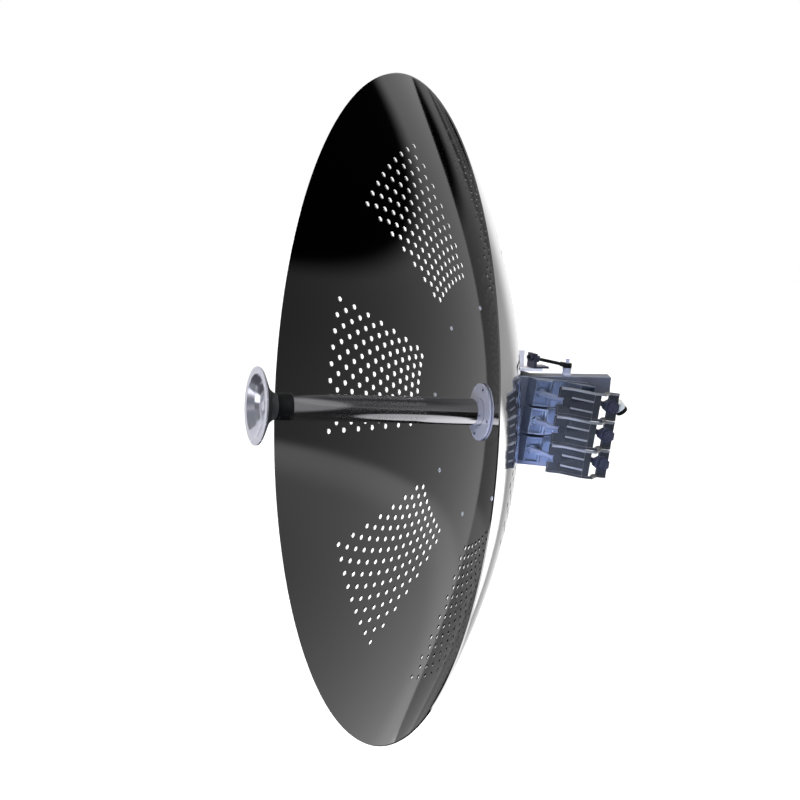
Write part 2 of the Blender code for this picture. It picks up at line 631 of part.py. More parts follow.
def clamp_mesh():
    """an outer clamp: a V-shaped web with ribs on its outer side and an open rear leg"""
    half = JAW_HEIGHT / 2
    inner = [(0.0, -CLAMP_HALF), (0.0, -CLAMP_MOUTH), (V_DEPTH, -V_FLAT), (V_DEPTH, V_FLAT),
             (0.0, CLAMP_MOUTH), (0.0, CLAMP_REAR)]
    outer = [(WEB, CLAMP_REAR), (WEB, CLAMP_MOUTH + CLAMP_LEAN), (V_DEPTH + WEB, V_FLAT + CLAMP_LEAN),
             (V_DEPTH + WEB, -V_FLAT - CLAMP_LEAN), (WEB, -CLAMP_MOUTH - CLAMP_LEAN), (WEB, -CLAMP_HALF)]
    edge = CLAMP_RIB_DEPTH
    apex = V_DEPTH + APEX_RIB_DEPTH
    rib = inner + [(WEB + 0.5, CLAMP_REAR), (edge, CLAMP_REAR - RIB_TAPER), (edge, CLAMP_MOUTH + 5),
                   (apex, V_FLAT + 3.5), (apex, -V_FLAT - 3.5), (edge, -CLAMP_MOUTH - 5),
                   (edge, -CLAMP_HALF)]
    middle_rib = [(V_DEPTH + 1, -V_FLAT), (apex - 0.5, -V_FLAT - 3.5), (edge - 0.5, -CLAMP_MOUTH - 4.5),
                  (1.5, -CLAMP_MOUTH - 1)]
    solids = [prism(inner + outer, -half, half),
              prism(rib, half - RIB, half),
              prism(rib, -half, RIB - half)]
    solids += [prism(middle_rib, low, high) for low, high in MIDDLE_RIBS]
    slot = (-BOLT_RADIUS - CLEAR, BOLT_RADIUS + CLEAR)
    cuts = [bolt_hole(1, -5, WEB + 3),
            bolt_hole(-1, -5, WEB + 3),
            block((-5, WEB + 3), (-CLAMP_HALF - 5, -BOLT_Y), slot),
            block((-5, apex + 5), WINDOW_Y, (RIB - half, half - RIB))]
    return combine("clamp", solids, cuts)


def clamp_bolt_mesh(head):
    """a stud in the jaw with its head on the outer clamp, along X from the seat"""
    seat = CLAMP_X + WEB + GAP
    solids = [rod(BOLT_RADIUS, STUD_END, seat + 1, (0, 0, 0), (1, 0, 0), 16)]
    if head == "round":
        solids.append(rod(FRONT_HEAD[0], seat, seat + FRONT_HEAD[1], (0, 0, 0), (1, 0, 0), 20))
    else:
        solids.append(rod(WASHER_RADIUS, seat, seat + 2, (0, 0, 0), (1, 0, 0), 24))
        hexagon = HEAD_FLATS / math.sqrt(3)
        solids.append(rod(hexagon, seat + 1, seat + 2 + HEAD_HEIGHT, (0, 0, 0), (1, 0, 0), 6))
    return combine("clamp_bolt", solids)


def earth_terminal_mesh():
    """a capped terminal on a lug at the rear end of the upper clamp"""
    lug = (CLAMP_REAR + GAP, CLAMP_REAR + TERMINAL_LUG)
    solids = [block((TERMINAL_TOP.x, CLAMP_X + WEB), lug, TERMINAL_LUG_Z),
              rod(TERMINAL_RADIUS, 0, TERMINAL_LENGTH, TERMINAL_TOP, TERMINAL_WAY, 24)]
    return combine("earth_terminal", solids)


def build_pole_bracket():
    place("mount_plate", mount_plate_mesh(), "casting")
    jaw = jaw_mesh()
    clamp = clamp_mesh()
    bolts = (("front", -BOLT_Y, clamp_bolt_mesh("round")), ("rear", BOLT_Y, clamp_bolt_mesh("hexagon")))
    for level, height in LEVELS:
        place(f"jaw_{level}", jaw, "casting", shift=(0, 0, height))
        place(f"clamp_{level}", clamp, "clamp", shift=(CLAMP_X, 0, height))
        for end, y, bolt in bolts:
            place(f"clamp_bolt_{level}_{end}", bolt, "steel", shift=(0, y, height))
    place("earth_terminal", earth_terminal_mesh(), "zinc")


def build_yoke(elevation):
    shift = -EL_PIVOT
    lock = (EL_PIVOT.y, EL_PIVOT.z + LOCK_RADIUS, LOCK_BOLT)
    pivot = (EL_PIVOT.y, EL_PIVOT.z, EL_PIN_RADIUS)
    place("yoke_plate", yoke_mesh(), "casting", elevation, shift)
    place("arm_upper", arm_mesh("arm_upper", 1, UPPER_ARM_REAR, lock), "casting", elevation, shift)
    place("arm_lower", arm_mesh("arm_lower", -1, LOWER_ARM_REAR, pivot), "casting", elevation, shift)
    place("azimuth_pin_upper", azimuth_pin_mesh(1), "steel", elevation, shift, True)
    place("azimuth_pin_lower", azimuth_pin_mesh(-1), "steel", elevation, shift, True)
    place("elevation_pin", elevation_pin_mesh(), "steel", elevation, shift, True)
    place("lock_bolt", lock_bolt_mesh(), "steel", elevation, shift)
    place("adjuster_post", post_mesh(), "white", elevation, shift, True)
    place("adjuster_rod", adjuster_rod_mesh(), "black", elevation, shift)


def build_dish(azimuth):
    shift = -AZ_PIVOT
    pieces = (
        ("reflector", reflector_mesh(), "mirror"),
        ("feed_flange", feed_flange_mesh(), "silver"),
        ("feed_tube", ring_mesh("feed_tube", TUBE_RADIUS, TUBE_BORE, -COLLAR_START + GAP, TUBE_REAR), "chrome"),
        ("feed_collar", ring_mesh("feed_collar", TUBE_RADIUS, TUBE_BORE, -CONE_START, -COLLAR_START), "black"),
        ("feed_cone", feed_cone_mesh(), "black"),
        ("subreflector", subreflector_mesh(), "silver"),
        ("backing_plate", backing_plate_mesh(), "zinc"),
        ("hub_bracket", hub_bracket_mesh(), "white"),
        ("feed_socket", feed_socket_mesh(), "silver"),
        ("connector_upper", connector_mesh(CONNECTOR_HEIGHT), "silver"),
        ("connector_lower", connector_mesh(-CONNECTOR_HEIGHT), "silver"),
        ("adjuster_lug", adjuster_lug_mesh(), "steel"),
        ("rod_nut_front", rod_nut_mesh(1), "steel"),
        ("rod_nut_rear", rod_nut_mesh(-1), "steel"),
    )
    for name, mesh, finish_name in pieces:
        place(name, mesh, finish_name, azimuth, shift, True)


def main():
    clear_scene()
    build_pole_bracket()
    elevation = empty("elevation_axis", row_point(EL_PIVOT), turn=(TIP_DOWN, 0, 0))
    build_yoke(elevation)
    azimuth = empty("azimuth_axis", AZ_PIVOT - EL_PIVOT, elevation, (0, 0, SWING))
    build_dish(azimuth)


main()
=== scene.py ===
"""A parabolic dish antenna on its pole bracket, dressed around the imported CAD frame.

Metres, in the frame of the CAD: +Z up along the pole, the origin on the middle jaw's seat.
Shapes are worked out in millimetres in one of three frames (row, yoke, dish) and put in place in their
meshes. The dish's frame has its origin at the bowl's vertex, and the dish looks along its -Y.
"""
import json
import math

import bmesh
import bpy
from mathutils import Matrix, Vector


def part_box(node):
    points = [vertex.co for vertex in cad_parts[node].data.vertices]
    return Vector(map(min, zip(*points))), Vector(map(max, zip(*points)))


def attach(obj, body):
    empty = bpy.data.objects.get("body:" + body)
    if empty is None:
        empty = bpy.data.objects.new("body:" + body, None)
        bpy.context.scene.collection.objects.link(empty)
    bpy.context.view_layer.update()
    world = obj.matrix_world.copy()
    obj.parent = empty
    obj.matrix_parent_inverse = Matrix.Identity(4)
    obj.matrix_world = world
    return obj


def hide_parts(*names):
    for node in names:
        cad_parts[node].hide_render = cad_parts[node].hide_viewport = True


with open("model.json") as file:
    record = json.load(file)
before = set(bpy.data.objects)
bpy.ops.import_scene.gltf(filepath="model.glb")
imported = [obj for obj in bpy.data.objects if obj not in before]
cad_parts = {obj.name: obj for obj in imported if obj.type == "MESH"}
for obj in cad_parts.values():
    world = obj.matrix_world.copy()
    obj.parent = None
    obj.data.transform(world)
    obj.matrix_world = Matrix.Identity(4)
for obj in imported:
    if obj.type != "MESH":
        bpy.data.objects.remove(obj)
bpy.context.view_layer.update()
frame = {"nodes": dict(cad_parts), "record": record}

NODES = frame["nodes"]
BODY_OF = {node: body for body, nodes in frame["record"]["behaviour"]["bodies"].items() for node in nodes}

# Frames, in metres
MM = Matrix.Scale(0.001, 4)
TIP_DOWN = math.radians(5.4)
SWING = math.radians(-6.4)
AZ_PIVOT = Vector((-0.020, 0.068, 0.0))
ROW = Matrix.Identity(4)
YOKE = Matrix.Translation((-0.0662, -0.1009, -0.0063)) @ Matrix.Rotation(TIP_DOWN, 4, "X")
SWUNG = Matrix.Translation(AZ_PIVOT) @ Matrix.Rotation(SWING, 4, "Z") @ Matrix.Translation(-AZ_PIVOT)
DISH = YOKE @ SWUNG

# The photograph's viewpoint
EYE = Vector((4.1052, -2.4184, 0.4834))
EYE_RIGHT = Vector((0.4354, 0.8851, 0.1644))
EYE_UP = Vector((-0.1656, -0.1008, 0.9811))
EYE_BACK = Vector((0.8849, -0.4543, 0.1027))
EYE_ANGLE = math.radians(17.29)

# Bowl, in millimetres
FOCAL = 427.6
SECTORS = 360                 # one a degree
BOWL_RADIUS = 600.0
BOWL_HOLE = 27.0
SHEET = 2.5
FIRST_ROW = 248.55            # radius of the innermost row of holes
ROW_PITCH = 17.818
ROWS = 14
COLUMN = 4                    # degrees from one hole to the next along a row
HALF_ROW = 4                  # columns to each side of a patch's middle
PATCH = 60                    # degrees from one patch to the next
PATCH_TURN = math.radians(1.325)
HOLE_RADIUS = 5.3
HOLE_STEPS = 12
INNER_RINGS = [BOWL_HOLE, 52.0, 95.0, 145.0, 195.0, 222.0]
OUTER_RINGS = [515.0, 545.0, 575.0, 592.0, BOWL_RADIUS]
BOLTS = 8                     # they hold the backing plate to the bowl
BOLT_CIRCLE = 190.0
GAP = 0.3                     # between two pieces that meet


# Finishes

class Value:
    """a number that changes over a surface, or with direction: a socket with ordinary arithmetic"""

    def __init__(self, finish, socket):
        self.finish = finish
        self.socket = socket

    def maths(self, operation, *values):
        made = self.finish.node("ShaderNodeMath", {"operation": operation}, dict(enumerate(values)))
        return Value(self.finish, made.outputs[0])

    def __add__(self, other):
        return self.maths("ADD", self, other)

    def __sub__(self, other):
        return self.maths("SUBTRACT", self, other)

    def __mul__(self, other):
        return self.maths("MULTIPLY", self, other)

    def __radd__(self, other):
        return self.maths("ADD", other, self)

    def __rsub__(self, other):
        return self.maths("SUBTRACT", other, self)

    def __rmul__(self, other):
        return self.maths("MULTIPLY", other, self)

    def __pow__(self, other):
        return self.maths("POWER", self, other)

    def __rpow__(self, other):
        return self.maths("POWER", other, self)

    def between(self, low, high, to_low=0.0, to_high=1.0):
        """this value's range from low to high, eased to another range"""
        made = self.finish.node("ShaderNodeMapRange", {"interpolation_type": "SMOOTHSTEP", "clamp": True},
                                {0: self, 1: low, 2: high, 3: to_low, 4: to_high})
        return Value(self.finish, made.outputs[0])


class Tree:
    """the nodes of a material or of the studio's surroundings"""

    def __init__(self, owner):
        owner.use_nodes = True
        self.tree = owner.node_tree

    def give(self, socket, value):
        """a number, colour or link for a socket"""
        if isinstance(value, Value):
            value = value.socket
        if isinstance(value, bpy.types.NodeSocket):
            self.tree.links.new(value, socket)
        else:
            socket.default_value = value

    def node(self, kind, settings, values):
        """any node: its settings first, then the numbers or links of its sockets"""
        made = self.tree.nodes.new(kind)
        for name, value in settings.items():
            setattr(made, name, value)
        for socket, value in values.items():
            self.give(made.inputs[socket], value)
        return made

    def split(self, vector):
        """a vector's three parts"""
        made = self.node("ShaderNodeSeparateXYZ", {}, {0: vector})
        return [Value(self, made.outputs[i]) for i in range(3)]

    def blend(self, amount, first, second):
        made = self.node("ShaderNodeMix", {"data_type": "RGBA"}, {0: amount, 6: first, 7: second})
        return made.outputs[2]


class Finish(Tree):
    """one procedural material"""

    def __init__(self, name, colour, roughness, metallic):
        self.material = bpy.data.materials.new(name)
        super().__init__(self.material)
        self.shader = self.tree.nodes["Principled BSDF"]
        self.material.diffuse_color = colour
        self.set("Base Color", colour)
        self.set("Roughness", roughness)
        self.set("Metallic", metallic)

    def set(self, socket, value):
        """a number, colour or link for one of the shader's sockets"""
        self.give(self.shader.inputs[socket], value)

    def place(self, where=None, scale=(1.0, 1.0, 1.0)):
        """Object coordinates, turned into a frame and stretched"""
        here = self.node("ShaderNodeTexCoord", {}, {}).outputs["Object"]
        if where is not None:
            back = where.inverted()
            here = self.node("ShaderNodeMapping", {}, {"Vector": here, "Location": back.translation,
                                                       "Rotation": back.to_euler()}).outputs[0]
        if scale != (1.0, 1.0, 1.0):
            here = self.node("ShaderNodeMapping", {}, {"Vector": here, "Scale": scale}).outputs[0]
        return here

    def noise(self, scale, detail, where=None, stretch=(1.0, 1.0, 1.0)):
        """soft blotches"""
        made = self.node("ShaderNodeTexNoise", {"noise_dimensions": "3D"},
                         {"Vector": self.place(where, stretch), "Scale": scale, "Detail": detail})
        return Value(self, made.outputs[0])

    def round_lines(self, where, lines):
        """fine rings round a frame's Y axis, as a lathe leaves"""
        x, y, z = self.split(self.place(where))
        radius = (x * x + z * z) ** 0.5
        made = self.node("ShaderNodeTexNoise", {"noise_dimensions": "1D"},
                         {"W": radius * lines, "Scale": 1.0, "Detail": 3.0})
        return Value(self, made.outputs[0])

    def spots(self, scale):
        """crystals, as on plated steel"""
        made = self.node("ShaderNodeTexVoronoi", {"feature": "F1"}, {"Vector": self.place(), "Scale": scale})
        return Value(self, made.outputs[0])

    def relief(self, height, strength, distance):
        """fine bumps"""
        made = self.node("ShaderNodeBump", {}, {"Strength": strength, "Distance": distance, "Height": height})
        self.set("Normal", made.outputs[0])


def tone(red, green, blue):
    return (red, green, blue, 1.0)


def shaded(colour, factor, lift=0.0, most=math.inf):
    """a colour made darker or lighter"""
    return tone(*(min(most, c * factor + lift) for c in colour[:3]))


def mirror_finish():
    """polished aluminium sheet with faint lathe rings and smudges"""
    made = Finish("polished sheet", tone(0.64, 0.635, 0.645), 0.05, 1.0)
    smudge = made.noise(5.0, 4.0, DISH).between(0.45, 0.75)
    rings = made.round_lines(DISH, 900.0)
    made.set("Base Color", made.blend(smudge * 0.6, tone(0.65, 0.64, 0.65), tone(0.61, 0.60, 0.60)))
    made.set("Roughness", 0.035 + smudge * 0.035 + rings * 0.02)
    made.relief(rings * 0.3 + made.noise(9.0, 1.0, DISH), 0.02, 0.001)
    return made.material


def chrome_finish():
    """plated tube with a haze drawn out along it"""
    made = Finish("bright tube", tone(0.88, 0.88, 0.92), 0.08, 1.0)
    haze = made.noise(40.0, 3.0, DISH, (1.0, 0.12, 1.0))
    made.set("Base Color", made.blend(haze, tone(0.90, 0.90, 0.94), tone(0.82, 0.82, 0.86)))
    made.set("Roughness", 0.09 + haze * 0.06)
    made.relief(haze, 0.03, 0.0005)
    return made.material


def spun_finish(name, colour, lines, roughness, metallic):
    """bright metal with the rings of a lathe"""
    made = Finish(name, colour, roughness, metallic)
    rings = made.round_lines(DISH, lines)
    cloud = made.noise(30.0, 3.0)
    made.set("Base Color", made.blend(rings * 0.5 + cloud * 0.3, colour, shaded(colour, 0.8)))
    made.set("Roughness", roughness - 0.05 + rings * 0.12)
    made.relief(rings, 0.10, 0.0003)
    return made.material


def plastic_finish(name, colour, roughness):
    """moulded plastic with a fine grain, paler where it is worn"""
    made = Finish(name, colour, roughness, 0.0)
    grain = made.noise(900.0, 2.0)
    worn = made.noise(60.0, 4.0).between(0.5, 0.8)
    made.set("Base Color", made.blend(worn, colour, shaded(colour, 1.9, 0.004)))
    made.set("Roughness", roughness + worn * 0.12)
    made.relief(grain, 0.12, 0.0002)
    return made.material


def paint_finish(name, colour, roughness, metallic, grain_size, grain_depth):
    """paint on a casting: a pebbled skin, small scuffs, a little dust"""
    made = Finish(name, colour, roughness, metallic)
    grain = made.noise(grain_size, 3.0)
    cloud = made.noise(25.0, 4.0)
    scuff = made.noise(140.0, 6.0, None, (1.0, 1.0, 0.35)).between(0.64, 0.76)
    body = made.blend(cloud.between(0.3, 0.7), shaded(colour, 0.78), colour)
    made.set("Base Color", made.blend(scuff * 0.6, body, shaded(colour, 1.5, 0.03, 1.0)))
    made.set("Roughness", roughness - 0.06 + cloud * 0.14 - scuff * 0.05)
    made.relief(grain + cloud * 0.5, grain_depth, 0.0006)
    return made.material


def plated_finish(name, colour, roughness, metallic, spot_size):
    """plated steel with a mottled skin"""
    made = Finish(name, colour, roughness, metallic)
    mottle = made.spots(spot_size)
    cloud = made.noise(70.0, 4.0)
    made.set("Base Color", made.blend(mottle * 0.6 + cloud * 0.4, colour, shaded(colour, 0.62)))
    made.set("Roughness", roughness - 0.05 + cloud * 0.2)
    made.relief(cloud + mottle * 0.4, 0.08, 0.0003)
    return made.material


# How fine the patterns are
TURNED = 2600.0
SPUN = 1800.0
CAST = 520.0
LACQUERED = 900.0

LOOKS = {
    "mirror": mirror_finish(),
    "chrome": chrome_finish(),
    "black": plastic_finish("black plastic", tone(0.005, 0.005, 0.005), 0.38),
    "cone": plastic_finish("moulded black cone", tone(0.050, 0.048, 0.045), 0.40),
    "silver": spun_finish("spun silver", tone(0.80, 0.80, 0.86), TURNED, 0.20, 0.75),
    "disc": spun_finish("bright spun disc", tone(0.86, 0.86, 0.94), SPUN, 0.13, 0.91),
    "flange": spun_finish("turned flange", tone(0.36, 0.35, 0.38), TURNED, 0.22, 0.5),
    "zinc": plated_finish("zinc plate", tone(0.62, 0.62, 0.64), 0.36, 0.6, 160.0),
    "casting": paint_finish("grey casting", tone(0.150, 0.158, 0.200), 0.42, 0.1, CAST, 0.22),
    "jaw": paint_finish("blue grey casting", tone(0.125, 0.150, 0.210), 0.42, 0.1, CAST, 0.22),
    # paler paint for a casting's rounded edges and ribs' outer edges: a painted highlight, where light catches the
    # edges
    "casting painted highlight": paint_finish("painted highlight on casting edges", tone(0.52, 0.57, 0.68), 0.36, 0.2, CAST, 0.12),
    "clamp": paint_finish("charcoal casting", tone(0.036, 0.037, 0.040), 0.42, 0.1, CAST, 0.22),
    # paler paint for a clamp's rounded edges and ribs' outer edges: a painted highlight, where light catches the
    # edges
    "clamp painted highlight": paint_finish("painted highlight on clamp edges", tone(0.24, 0.235, 0.235), 0.34, 0.2, CAST, 0.10),
    "steel": plated_finish("dark plated steel", tone(0.075, 0.075, 0.105), 0.26, 0.4, 260.0),
    "stud": plated_finish("bright stud", tone(0.23, 0.25, 0.32), 0.30, 0.3, 300.0),
    "white": paint_finish("pale grey lacquer", tone(0.92, 0.90, 0.95), 0.36, 0.0, LACQUERED, 0.08),
    "post": paint_finish("grey lacquered post", tone(0.42, 0.42, 0.50), 0.36, 0.0, LACQUERED, 0.08),
    "terminal": plastic_finish("pale terminal body", tone(0.55, 0.55, 0.52), 0.45),
}


# Making pieces

CREASE = math.radians(35.0)           # a sharper edge is shaded as an edge
SHARP = math.radians(25.0)            # a CAD edge sharper than this is rounded
FLAT = math.radians(1.0)
WELD = 0.00002                        # metres, as the next two
LOWEST_RIB = 0.008                    # rib edges less than this above a CAD node's bottom get no painted highlight, and stay dark as if in shade
RIB = 0.0045                          # the most that a rib's edge measures in height
THREAD_SIDES = 20
THREAD_DEPTH = 0.6


def piece(name, bm, where, look, body, stands_for=()):
    """a finished piece from a bmesh in millimetres of one of the frames"""
    bmesh.ops.transform(bm, matrix=where @ MM, verts=bm.verts)
    bmesh.ops.recalc_face_normals(bm, faces=bm.faces)
    return settle(name, bm, look, body, stands_for)


def settle(name, bm, look, body, stands_for=()):
    """an object from a bmesh that is already in place, in metres, with its look's material"""
    mesh = bpy.data.meshes.new(name)
    bm.to_mesh(mesh)
    bm.free()
    mesh.materials.append(LOOKS[look])
    mesh.shade_smooth()
    mesh.set_sharp_from_angle(angle=CREASE)
    made = bpy.data.objects.new(name, mesh)
    bpy.context.scene.collection.objects.link(made)
    even = made.modifiers.new("flat faces shade flat", "WEIGHTED_NORMAL")
    even.keep_sharp = True
    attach(made, body)
    if stands_for:
        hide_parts(*stands_for)
    return made


def turned(profile, sides, rounding=0.0, steps=2):
    """an outline of (radius, Y) turned about the Y axis, its corners rounded first"""
    bm = bmesh.new()
    points = [bm.verts.new((r, y, 0.0)) for r, y in profile]
    for i, point in enumerate(points):
        bm.edges.new((point, points[(i + 1) % len(points)]))
    if rounding:
        corners = [v for v in bm.verts if v.co.x > 0.01]
        bmesh.ops.bevel(bm, geom=corners, offset=rounding, segments=steps, profile=0.5, affect="VERTICES",
                        clamp_overlap=True, material=-1)
    bmesh.ops.spin(bm, geom=bm.verts[:] + bm.edges[:], cent=(0, 0, 0), axis=(0, 1, 0), dvec=(0, 0, 0),
                   angle=2 * math.pi, steps=sides, use_merge=True, use_duplicate=False)
    bmesh.ops.remove_doubles(bm, verts=bm.verts, dist=0.002)
    bmesh.ops.delete(bm, geom=[e for e in bm.edges if not e.link_faces], context="EDGES")
    return bm


def round_bar(radius, low, high, sides, rounding=0.2, steps=2):
    """a round bar or washer along Y"""
    return turned([(0.0, low), (radius, low), (radius, high), (0.0, high)], sides, rounding, steps)


def along(direction, where):
    """the matrix that takes the Y axis to a direction through a place"""
    turn = Vector((0, 1, 0)).rotation_difference(Vector(direction))
    return Matrix.Translation(Vector(where)) @ turn.to_matrix().to_4x4()


def placed(bm, matrix):
    """the same bmesh, moved"""
    bmesh.ops.transform(bm, matrix=matrix, verts=bm.verts)
    return bm


def joined(parts):
    """several bmeshes in one"""
    whole = bmesh.new()
    for part in parts:
        mesh = bpy.data.meshes.new("part")
        part.to_mesh(mesh)
        part.free()
        whole.from_mesh(mesh)
        bpy.data.meshes.remove(mesh)
    return whole


def hexagon(flats, low, high, chamfer=0.8):
    """a hexagonal bar along Y with chamfered ends"""
    bm = bmesh.new()
    bmesh.ops.create_circle(bm, cap_ends=True, segments=6, radius=flats / math.sqrt(3))
    placed(bm, Matrix.Rotation(math.radians(-90), 4, "X"))
    raised = bmesh.ops.extrude_face_region(bm, geom=bm.faces[:])
    tops = [item for item in raised["geom"] if isinstance(item, bmesh.types.BMVert)]
    bmesh.ops.translate(bm, vec=(0, high - low, 0), verts=tops)
    bmesh.ops.translate(bm, vec=(0, low, 0), verts=bm.verts)
    bmesh.ops.bevel(bm, geom=bm.verts[:], offset=chamfer, segments=1, profile=0.5, affect="EDGES",
                    clamp_overlap=True, material=-1)
    return bm


def threaded(radius, low, high, pitch):
    """a bar along Y with thread ridges"""
    root = radius - THREAD_DEPTH
    count = max(1, int((high - low) / pitch))
    step = (high - low) / count
    outline = [(0.0, low), (root, low)]
    for i in range(count):
        start = low + (high - low) * i / count
        outline += [(root, start + step * 0.1), (radius, start + step * 0.4),
                    (radius, start + step * 0.6), (root, start + step * 0.9)]
    outline += [(root, high), (0.0, high)]
    return turned(outline, THREAD_SIDES)


def softened(node, look, edge, steps=2, edge_highlight=None, corners_too=True, taller=1.0):
    """a CAD node's shape with its sharp edges rounded, inner corners too unless told otherwise; it may be made
    taller, and its rounded edges and its ribs' outer edges may get a paler look of their own: a painted highlight"""
    bm = bmesh.new()
    bm.from_mesh(NODES[node].data)
    low, high = (corner[2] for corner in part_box(node))
    middle = Matrix.Translation((0, 0, (low + high) / 2))
    placed(bm, middle @ Matrix.Diagonal((1, 1, taller, 1)) @ middle.inverted())
    bmesh.ops.remove_doubles(bm, verts=bm.verts, dist=WELD)
    bmesh.ops.dissolve_limit(bm, angle_limit=FLAT, verts=bm.verts, edges=bm.edges, use_dissolve_boundaries=False)
    edges = [e for e in bm.edges if e.is_manifold and e.calc_face_angle() > SHARP and (e.is_convex or corners_too)]
    # ribs' outer edges facing +X get the paler second look, a painted highlight; those near the bottom stay dark,
    # as if in shade
    if edge_highlight:
        for face in bm.faces:
            face.material_index = int(is_rib_edge(face) and face.calc_center_median().z > low + LOWEST_RIB)
    rounded = bmesh.ops.bevel(bm, geom=edges, offset=edge / 1000, segments=steps, profile=0.5,
                              affect="EDGES", clamp_overlap=True, loop_slide=True, material=-1)
    # every rounded edge gets the same painted highlight
    if edge_highlight:
        for face in rounded["faces"]:
            face.material_index = 1
    bmesh.ops.triangulate(bm, faces=[f for f in bm.faces if len(f.verts) > 4])
    made = settle(f"{node}_shown", bm, look, BODY_OF[node], (node,))
    if edge_highlight:
        made.data.materials.append(LOOKS[edge_highlight])
    return made


def is_rib_edge(face):
    """whether a face is the narrow outer edge of a rib"""
    heights = [v.co.z for v in face.verts]
    return abs(face.normal.z) < 0.3 and face.normal.x > 0.1 and max(heights) - min(heights) < RIB


# Bowl

def depth(radius):
    """where the bowl's front face is along the dish's Y axis, at a radius"""
    return -radius ** 2 / (4 * FOCAL)


def bowl_rings():
    """radii of the bowl's rings; the rows of holes take two each"""
    low = FIRST_ROW - ROW_PITCH / 2
    rows = [low + ROW_PITCH * i / 2 for i in range(2 * ROWS + 1)]
    return INNER_RINGS + rows + OUTER_RINGS


def hole_at(degrees, ring):
    """the hole whose cell holds a face: (middle in degrees, row), or None in the plain sheet"""
    first = len(INNER_RINGS)
    row = (ring - first) // 2
    if not (ring >= first and row < ROWS):
        return None
    middle = int(degrees // PATCH) * PATCH + PATCH / 2
    offset = degrees - middle
    if row % 2:
        column = math.floor(offset / COLUMN + 0.5)
        inside = abs(column) <= HALF_ROW
    else:
        column = math.floor(offset / COLUMN) + 0.5
        inside = abs(column) < HALF_ROW
    return (middle + column * COLUMN, row) if inside else None


def punch(bm, cells):
    """gives each cell a round hole: inset it, and draw the inner corners onto a circle"""
    bmesh.ops.inset_individual(bm, faces=list(cells), thickness=0.2, depth=0.0, use_even_offset=False)
    for face, (degrees, row) in cells.items():
        radius = FIRST_ROW + ROW_PITCH * row
        stretch = math.sqrt(1 + (radius / (2 * FOCAL)) ** 2)
        across = math.degrees(HOLE_RADIUS / radius)
        corners = sorted(face.verts, key=lambda v: math.atan2((v.co.y - radius) / ROW_PITCH,
                                                              (v.co.x - degrees) / COLUMN) % (2 * math.pi))
        for i, corner in enumerate(corners):
            angle = 2 * math.pi * i / HOLE_STEPS
            corner.co.x = degrees + across * math.cos(angle)
            corner.co.y = radius + HOLE_RADIUS * math.sin(angle) / stretch
    bmesh.ops.delete(bm, geom=list(cells), context="FACES_ONLY")


def slope(point):
    """the way out of the bowl's back at a point of the dish's frame"""
    return Vector((point.x / (2 * FOCAL), 1.0, point.z / (2 * FOCAL))).normalized()


def make_bowl():
    """laid out flat first, as degrees by rings, then punched, wrapped round the axis and thickened"""
    rings = bowl_rings()
    bm = bmesh.new()
    bmesh.ops.create_grid(bm, x_segments=SECTORS, y_segments=len(rings) - 1, size=0.5)
    for v in bm.verts:
        v.co.x = round((v.co.x + 0.5) * SECTORS)
        v.co.y = round((v.co.y + 0.5) * (len(rings) - 1))
    bm.faces.index_update()
    groups = {}
    for face in bm.faces:
        middle = face.calc_center_median()
        groups[face.index] = hole_at(middle.x, int(middle.y))
    inner = [e for e in bm.edges if len(e.link_faces) == 2 and groups[e.link_faces[0].index] is not None
             and groups[e.link_faces[0].index] == groups[e.link_faces[1].index]]
    for v in bm.verts:
        v.co.y = rings[int(v.co.y)]
    bmesh.ops.dissolve_edges(bm, edges=inner, use_verts=False, use_face_split=False)
    cells = {}
    for face in bm.faces:
        if len(face.verts) == HOLE_STEPS:
            middle = face.calc_center_bounds()
            row = round((middle.y - FIRST_ROW) / ROW_PITCH)
            cells[face] = (middle.x, row)
    punch(bm, cells)
    for v in bm.verts:
        angle = math.radians(v.co.x) + PATCH_TURN
        radius = v.co.y
        v.co = (radius * math.sin(angle), depth(radius), radius * math.cos(angle))
    bmesh.ops.remove_doubles(bm, verts=bm.verts, dist=0.01)
    raised = bmesh.ops.extrude_face_region(bm, geom=bm.faces[:], use_keep_orig=True)
    for item in raised["geom"]:
        if isinstance(item, bmesh.types.BMVert):
            item.co += slope(item.co) * SHEET
    rim = [e for e in bm.edges if all(math.hypot(v.co.x, v.co.z) > BOWL_RADIUS - 1 for v in e.verts)
           and e.calc_face_angle(0.0) > 1.0]
    bmesh.ops.bevel(bm, geom=rim, offset=0.7, segments=2, profile=0.5, affect="EDGES", clamp_overlap=True,
                    material=-1)
    made = piece("bowl_sheet", bm, DISH, "mirror", "dish", ("reflector",))
    made.modifiers.clear()
    smooth_bowl(made.data)


def smooth_bowl(mesh):
    """true normals on both sides of the sheet, so that the holes don't dent its reflections"""
    back = (DISH @ MM).inverted()
    turn = DISH.to_3x3()
    ways = [turn @ slope(back @ v.co) for v in mesh.vertices]
    normals = [Vector((0.0, 0.0, 0.0))] * len(mesh.loops)
    for face in mesh.polygons:
        for loop in face.loop_indices:
            way = ways[mesh.loops[loop].vertex_index]
            lean = way.dot(face.normal)
            if abs(lean) > 0.97:
                normals[loop] = way if lean > 0 else -way
    mesh.normals_split_custom_set([tuple(n) for n in normals])


# Feed, on the dish's axis

TUBE = 24.6
TUBE_BORE = 22.4
TUBE_FOOT = 9.0
TUBE_END = -367.0
FLANGE = 52.5
FLANGE_BORE = TUBE + GAP
FLANGE_SEAT = depth(FLANGE) - GAP
FLANGE_FACE = FLANGE_SEAT - 4.0
SCREWS = 4
SCREW_CIRCLE = 43.5
FIRST_SCREW = 15.0            # degrees
COLLAR_END = -395.0
CONE_START = COLLAR_END - GAP
CONE_END = -411.0
CONE_NECK = TUBE - 1
CONE_MOUTH = 35.5
FLARE_STEPS = 12
FLARE = 1.6                   # 1 would be a straight cone
DISC_BACK = CONE_END - GAP


